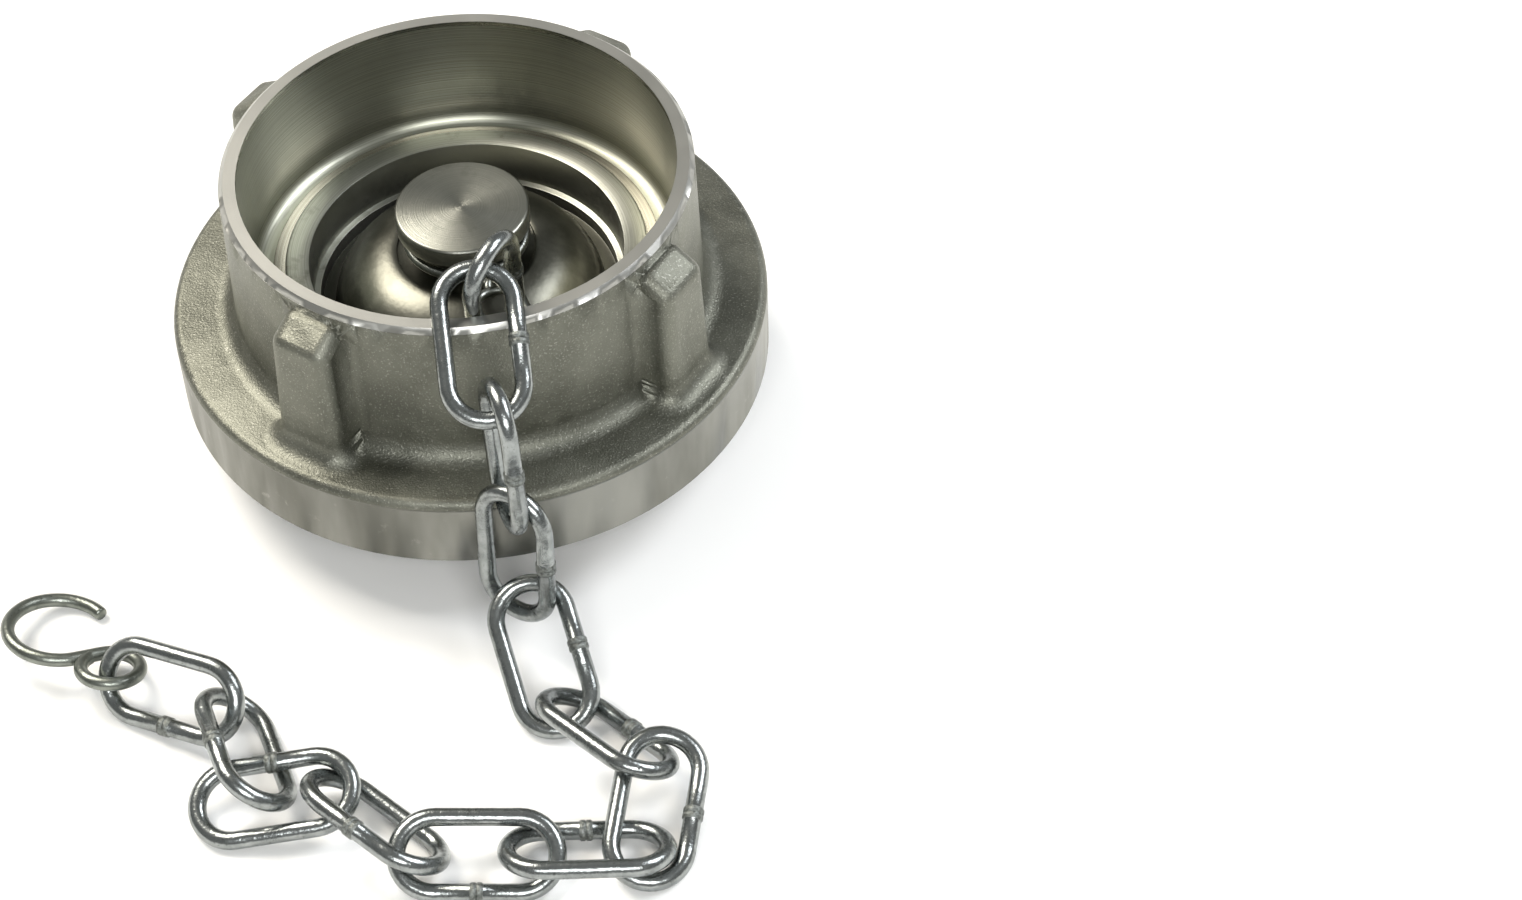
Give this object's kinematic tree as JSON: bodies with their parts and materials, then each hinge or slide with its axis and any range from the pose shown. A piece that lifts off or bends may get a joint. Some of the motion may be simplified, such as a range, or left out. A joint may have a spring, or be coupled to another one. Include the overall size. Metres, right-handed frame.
{
  "type": "hose coupling blind cap",
  "caption": "Forged aluminium blind cap for a lug-type hose coupling, with a sealing ring, a turning insert and a captive welded chain that ends in a wire hook.",
  "frame": {"origin": "centre of the mating face, on the cap axis", "axes": "+Z along the cap axis from the mating face to the back; +X through one lug; +Y completes it"},
  "size_m": [0.123, 0.1557, 0.0628],
  "materials": {
    "forged_aluminium": "blasted satin",
    "turned_aluminium": "turned",
    "seal_rubber": "smooth",
    "spring_steel": "bright",
    "zinc_plated_steel": "bright zinc",
    "dull_zinc_steel": "dull zinc"
  },
  "bodies": {
    "coupling_ring": {"coupling_ring": "forged_aluminium"},
    "blind_body": {"blind_body": "turned_aluminium", "seal_ring": "seal_rubber", "snap_ring": "spring_steel"},
    "knob_clip": {"knob_clip": "zinc_plated_steel"},
    "chain_link_01": {"chain_link_01": "zinc_plated_steel"},
    "chain_link_02": {"chain_link_02": "zinc_plated_steel"},
    "chain_link_03": {"chain_link_03": "zinc_plated_steel"},
    "chain_link_04": {"chain_link_04": "zinc_plated_steel"},
    "chain_link_05": {"chain_link_05": "zinc_plated_steel"},
    "chain_link_06": {"chain_link_06": "zinc_plated_steel"},
    "chain_link_07": {"chain_link_07": "zinc_plated_steel"},
    "chain_link_08": {"chain_link_08": "zinc_plated_steel"},
    "chain_link_09": {"chain_link_09": "zinc_plated_steel"},
    "chain_link_10": {"chain_link_10": "zinc_plated_steel"},
    "chain_link_11": {"chain_link_11": "zinc_plated_steel"},
    "chain_link_12": {"chain_link_12": "zinc_plated_steel"},
    "chain_link_13": {"chain_link_13": "zinc_plated_steel"},
    "end_hook": {"end_hook": "dull_zinc_steel"}
  },
  "joints": [
    {"name": "blind_body_turn", "type": "hinge", "parent": "coupling_ring", "child": "blind_body", "pos_m": [0, 0, 0.012], "axis": [0, 0, 1], "continuous": true},
    {"name": "knob_clip_turn", "type": "hinge", "parent": "coupling_ring", "child": "knob_clip", "pos_m": [0, 0, 0.0266], "axis": [0, 0, 1], "range_deg": [-21, 23]},
    {"name": "chain_link_01_swing", "type": "hinge", "parent": "knob_clip", "child": "chain_link_01", "pos_m": [0.00905, -0.02627, 0.02932], "axis": [-0.9455, -0.3256, 0], "range_deg": [0, 13]},
    {"name": "chain_link_02_swing", "type": "hinge", "parent": "chain_link_01", "child": "chain_link_02", "pos_m": [0.00702, -0.03019, 0.05034], "axis": [-0.5016, -0.8482, -0.1703], "range_deg": [0, 15]},
    {"name": "chain_link_03_swing", "type": "hinge", "parent": "chain_link_02", "child": "chain_link_03", "pos_m": [0.00689, -0.05122, 0.03567], "axis": [-0.9925, -0.1219, 0], "range_deg": [0, 23]},
    {"name": "chain_link_04_swing", "type": "hinge", "parent": "chain_link_03", "child": "chain_link_04", "pos_m": [0.00872, -0.05334, 0.01556], "axis": [0.3375, -0.9185, 0.2059], "range_deg": [-2, 2]},
    {"name": "chain_link_05_swing", "type": "hinge", "parent": "chain_link_04", "child": "chain_link_05", "pos_m": [0.0085, -0.05573, -0.00311], "axis": [0.8392, -0.542, 0.0437], "range_deg": [-23, 0]},
    {"name": "chain_link_06_swing", "type": "hinge", "parent": "chain_link_05", "child": "chain_link_06", "pos_m": [0.01583, -0.07466, -0.00931], "axis": [-0.9556, -0.199, -0.2174], "range_deg": [-1, 64]},
    {"name": "chain_link_07_swing", "type": "hinge", "parent": "chain_link_06", "child": "chain_link_07", "pos_m": [0.03077, -0.08717, -0.00413], "axis": [-0.6437, -0.5269, 0.555], "range_deg": [-2, 13]},
    {"name": "chain_link_08_swing", "type": "hinge", "parent": "chain_link_07", "child": "chain_link_08", "pos_m": [0.02797, -0.10372, -0.00928], "axis": [0.9766, -0.1325, -0.1692], "range_deg": [-16, 0]},
    {"name": "chain_link_09_swing", "type": "hinge", "parent": "chain_link_08", "child": "chain_link_09", "pos_m": [0.00785, -0.10003, -0.00598], "axis": [0.0761, -0.9108, 0.4057], "range_deg": [-7, 41]},
    {"name": "chain_link_10_swing", "type": "hinge", "parent": "chain_link_09", "child": "chain_link_10", "pos_m": [-0.00857, -0.10011, -0.00589], "axis": [0.0137, 0.9067, 0.4216], "range_deg": [-31, 64]},
    {"name": "chain_link_11_swing", "type": "hinge", "parent": "chain_link_10", "child": "chain_link_11", "pos_m": [-0.02117, -0.08631, -0.00488], "axis": [0.4812, 0.6388, -0.6004], "range_deg": [-38, 11]},
    {"name": "chain_link_12_swing", "type": "hinge", "parent": "chain_link_11", "child": "chain_link_12", "pos_m": [-0.03957, -0.08902, -0.00848], "axis": [0.0927, -0.9475, -0.306], "range_deg": [-20, 1]},
    {"name": "chain_link_13_swing", "type": "hinge", "parent": "chain_link_12", "child": "chain_link_13", "pos_m": [-0.03667, -0.06901, -0.00652], "axis": [-0.7365, -0.183, 0.6512], "range_deg": [-35, 38]},
    {"name": "end_hook_swing", "type": "hinge", "parent": "chain_link_13", "child": "end_hook", "pos_m": [-0.0557, -0.06398, -0.00578], "axis": [-0.1836, -0.5954, -0.7821], "range_deg": [-64, 64]}
  ]
}
